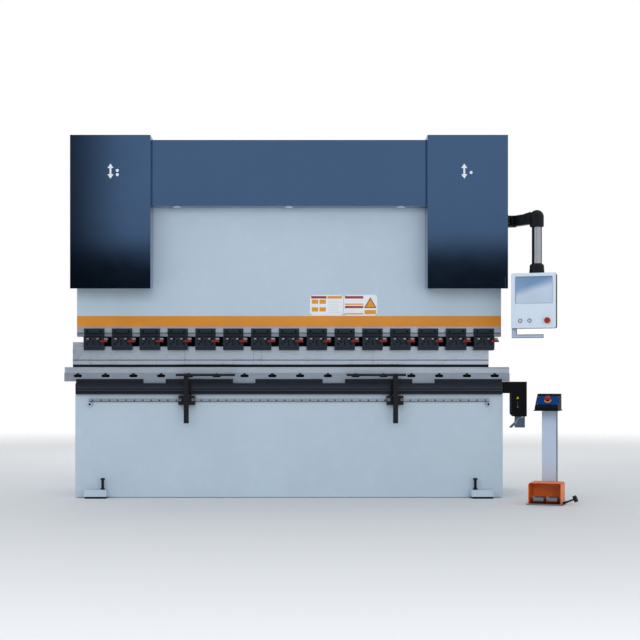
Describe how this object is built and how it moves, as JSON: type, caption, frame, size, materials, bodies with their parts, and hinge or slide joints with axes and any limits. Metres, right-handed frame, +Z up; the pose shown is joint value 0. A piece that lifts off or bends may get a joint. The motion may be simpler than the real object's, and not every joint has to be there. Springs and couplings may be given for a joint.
{
  "type": "press brake",
  "caption": "Hydraulic sheet-metal press brake with C frames, ram and quick clamps, vee die, back gauge, front supports, swinging control pendant and foot pedestal.",
  "frame": {"origin": "centre of the floor anchor rectangle, on the floor", "axes": "+X to the operator's right along the bending line, +Y from the operator to the back gauge, +Z up"},
  "size_m": [3.5665, 1.9461, 2.572],
  "materials": {
    "body_paint": "pale blue-grey satin paint",
    "cover_paint": "glossy dark blue paint",
    "tool_steel": "ground tool steel",
    "clamp_black": "blackened steel",
    "lever_red": "red paint",
    "rail_black": "black anodised",
    "bright_steel": "bright steel",
    "foot_black": "black",
    "drive_black": "black textured paint",
    "guard_dark": "dark grey powder coat",
    "pack_grey": "grey enamel",
    "chrome_rod": "hard chrome",
    "gauge_aluminium": "clear anodised",
    "pendant_black": "black paint",
    "control_shell": "pale shell",
    "estop_red": "red",
    "button_white": "pale button",
    "stand_paint": "pale satin paint",
    "hood_orange": "orange paint",
    "pedal_grey": "dark cast tread",
    "console_black": "black"
  },
  "bodies": {
    "frame": {"side_frame_left": "body_paint", "side_frame_right": "body_paint", "bed_beam": "body_paint", "levelling_feet": "foot_black", "crowning_table": "tool_steel", "die_holder": "tool_steel", "die_segments": "tool_steel", "table_rail": "rail_black", "crowning_drive": "drive_black", "front_rail": "bright_steel", "guide_rails": "bright_steel", "cylinder_barrels": "pack_grey", "oil_tank": "body_paint", "power_pack": "pack_grey", "cover_left": "cover_paint", "cover_right": "cover_paint", "cover_centre": "cover_paint", "electrical_cabinet": "body_paint", "pendant_bracket": "pendant_black", "rear_guard": "guard_dark"},
    "ram": {"ram_plate": "body_paint", "piston_rods": "chrome_rod", "clamp_bodies": "clamp_black", "punch_segments": "tool_steel"},
    "lever_01": {"clamp_lever_01": "lever_red"},
    "lever_02": {"clamp_lever_02": "lever_red"},
    "lever_03": {"clamp_lever_03": "lever_red"},
    "lever_04": {"clamp_lever_04": "lever_red"},
    "lever_05": {"clamp_lever_05": "lever_red"},
    "lever_06": {"clamp_lever_06": "lever_red"},
    "lever_07": {"clamp_lever_07": "lever_red"},
    "lever_08": {"clamp_lever_08": "lever_red"},
    "lever_09": {"clamp_lever_09": "lever_red"},
    "lever_10": {"clamp_lever_10": "lever_red"},
    "lever_11": {"clamp_lever_11": "lever_red"},
    "lever_12": {"clamp_lever_12": "lever_red"},
    "lever_13": {"clamp_lever_13": "lever_red"},
    "lever_14": {"clamp_lever_14": "lever_red"},
    "lever_15": {"clamp_lever_15": "lever_red"},
    "carriage_left": {"carriage_left": "rail_black"},
    "post_left": {"post_left": "rail_black"},
    "arm_left": {"arm_left": "rail_black"},
    "carriage_right": {"carriage_right": "rail_black"},
    "post_right": {"post_right": "rail_black"},
    "arm_right": {"arm_right": "rail_black"},
    "cabinet_door": {"cabinet_door": "body_paint"},
    "gauge_beam": {"gauge_beam": "gauge_aluminium"},
    "finger_left": {"finger_left": "gauge_aluminium"},
    "finger_right": {"finger_right": "gauge_aluminium"},
    "pendant_arm": {"pendant_arm": "pendant_black"},
    "control_box": {"control_box": "control_shell"},
    "control_estop": {"control_estop": "estop_red"},
    "control_button_left": {"control_button_left": "button_white"},
    "control_button_right": {"control_button_right": "button_white"},
    "pedestal": {"pedestal_stand": "stand_paint", "pedal_hood": "hood_orange", "pedestal_console": "console_black"},
    "pedal_left": {"pedal_left": "pedal_grey"},
    "pedal_right": {"pedal_right": "pedal_grey"},
    "pedestal_estop": {"pedestal_estop": "estop_red"}
  },
  "joints": [
    {"name": "ram_slide", "type": "slide", "parent": "frame", "child": "ram", "axis": [0, 0, 1], "range_m": [0, 0.15]},
    {"name": "lever_turn_01", "type": "hinge", "parent": "ram", "child": "lever_01", "pos_m": [-1.363, -0.65, 1.124], "axis": [0, 1, 0], "range_deg": [0, 90]},
    {"name": "lever_turn_02", "type": "hinge", "parent": "ram", "child": "lever_02", "pos_m": [-1.163, -0.65, 1.124], "axis": [0, 1, 0], "range_deg": [0, 90]},
    {"name": "lever_turn_03", "type": "hinge", "parent": "ram", "child": "lever_03", "pos_m": [-0.963, -0.65, 1.124], "axis": [0, 1, 0], "range_deg": [0, 90]},
    {"name": "lever_turn_04", "type": "hinge", "parent": "ram", "child": "lever_04", "pos_m": [-0.763, -0.65, 1.124], "axis": [0, 1, 0], "range_deg": [0, 90]},
    {"name": "lever_turn_05", "type": "hinge", "parent": "ram", "child": "lever_05", "pos_m": [-0.563, -0.65, 1.124], "axis": [0, 1, 0], "range_deg": [0, 90]},
    {"name": "lever_turn_06", "type": "hinge", "parent": "ram", "child": "lever_06", "pos_m": [-0.363, -0.65, 1.124], "axis": [0, 1, 0], "range_deg": [0, 90]},
    {"name": "lever_turn_07", "type": "hinge", "parent": "ram", "child": "lever_07", "pos_m": [-0.163, -0.65, 1.124], "axis": [0, 1, 0], "range_deg": [0, 90]},
    {"name": "lever_turn_08", "type": "hinge", "parent": "ram", "child": "lever_08", "pos_m": [0.037, -0.65, 1.124], "axis": [0, 1, 0], "range_deg": [0, 90]},
    {"name": "lever_turn_09", "type": "hinge", "parent": "ram", "child": "lever_09", "pos_m": [0.237, -0.65, 1.124], "axis": [0, 1, 0], "range_deg": [0, 90]},
    {"name": "lever_turn_10", "type": "hinge", "parent": "ram", "child": "lever_10", "pos_m": [0.437, -0.65, 1.124], "axis": [0, 1, 0], "range_deg": [0, 90]},
    {"name": "lever_turn_11", "type": "hinge", "parent": "ram", "child": "lever_11", "pos_m": [0.637, -0.65, 1.124], "axis": [0, 1, 0], "range_deg": [0, 90]},
    {"name": "lever_turn_12", "type": "hinge", "parent": "ram", "child": "lever_12", "pos_m": [0.837, -0.65, 1.124], "axis": [0, 1, 0], "range_deg": [0, 90]},
    {"name": "lever_turn_13", "type": "hinge", "parent": "ram", "child": "lever_13", "pos_m": [1.037, -0.65, 1.124], "axis": [0, 1, 0], "range_deg": [0, 90]},
    {"name": "lever_turn_14", "type": "hinge", "parent": "ram", "child": "lever_14", "pos_m": [1.237, -0.65, 1.124], "axis": [0, 1, 0], "range_deg": [0, 90]},
    {"name": "lever_turn_15", "type": "hinge", "parent": "ram", "child": "lever_15", "pos_m": [1.437, -0.65, 1.124], "axis": [0, 1, 0], "range_deg": [0, 90]},
    {"name": "support_slide_left", "type": "slide", "parent": "frame", "child": "carriage_left", "axis": [1, 0, 0], "range_m": [-0.6, 0.3]},
    {"name": "post_height_left", "type": "slide", "parent": "carriage_left", "child": "post_left", "axis": [0, 0, 1], "range_m": [-0.06, 0.05]},
    {"name": "arm_swivel_left", "type": "hinge", "parent": "post_left", "child": "arm_left", "pos_m": [-0.731, -0.7, 0.881], "axis": [0, 0, -1], "range_deg": [0, 90]},
    {"name": "support_slide_right", "type": "slide", "parent": "frame", "child": "carriage_right", "axis": [1, 0, 0], "range_m": [-0.3, 0.57]},
    {"name": "post_height_right", "type": "slide", "parent": "carriage_right", "child": "post_right", "axis": [0, 0, 1], "range_m": [-0.06, 0.05]},
    {"name": "arm_swivel_right", "type": "hinge", "parent": "post_right", "child": "arm_right", "pos_m": [0.758, -0.7, 0.881], "axis": [0, 0, 1], "range_deg": [0, 90]},
    {"name": "cabinet_door_hinge", "type": "hinge", "parent": "frame", "child": "cabinet_door", "pos_m": [1.612, 0.54, 0.45], "axis": [0, 0, 1], "range_deg": [0, 110]},
    {"name": "gauge_travel", "type": "slide", "parent": "frame", "child": "gauge_beam", "axis": [0, 1, 0], "range_m": [-0.24, 0.18]},
    {"name": "finger_travel_left", "type": "slide", "parent": "gauge_beam", "child": "finger_left", "axis": [1, 0, 0], "range_m": [-0.85, 0.3]},
    {"name": "finger_travel_right", "type": "slide", "parent": "gauge_beam", "child": "finger_right", "axis": [1, 0, 0], "range_m": [-0.3, 0.85]},
    {"name": "pendant_swing", "type": "hinge", "parent": "frame", "child": "pendant_arm", "pos_m": [1.59, -0.715, 1.9705], "axis": [0, 0, 1], "range_deg": [-3, 75]},
    {"name": "control_box_turn", "type": "hinge", "parent": "pendant_arm", "child": "control_box", "pos_m": [1.72273, -0.90455, 1.6], "axis": [0, 0, 1], "range_deg": [-60, 60]},
    {"name": "control_estop_push", "type": "slide", "parent": "control_box", "child": "control_estop", "axis": [0.2924, 0.9563, 0], "range_m": [0, 0.005], "stiffness_N_per_m": 1500, "springref_m": -0.003},
    {"name": "control_button_left_push", "type": "slide", "parent": "control_box", "child": "control_button_left", "axis": [0.2924, 0.9563, 0], "range_m": [0, 0.003], "stiffness_N_per_m": 1500, "springref_m": -0.003},
    {"name": "control_button_right_push", "type": "slide", "parent": "control_box", "child": "control_button_right", "axis": [0.2924, 0.9563, 0], "range_m": [0, 0.003], "stiffness_N_per_m": 1500, "springref_m": -0.003},
    {"name": "pedestal_shift", "type": "slide", "parent": "frame", "child": "pedestal", "axis": [1, 0, 0], "range_m": [-1.5, 0.2]},
    {"name": "pedal_press_left", "type": "hinge", "parent": "pedestal", "child": "pedal_left", "pos_m": [1.76458, -1.0644, 0.04], "axis": [0.9397, -0.342, 0], "range_deg": [0, 8], "stiffness_Nm_per_rad": 8, "springref_deg": -8.59},
    {"name": "pedal_press_right", "type": "hinge", "parent": "pedestal", "child": "pedal_right", "pos_m": [1.76458, -1.0644, 0.04], "axis": [0.9397, -0.342, 0], "range_deg": [0, 8], "stiffness_Nm_per_rad": 8, "springref_deg": -8.59},
    {"name": "pedestal_estop_push", "type": "slide", "parent": "pedestal", "child": "pedestal_estop", "axis": [0.2035, 0.559, -0.8038], "range_m": [0, 0.005], "stiffness_N_per_m": 1500, "springref_m": -0.003}
  ]
}
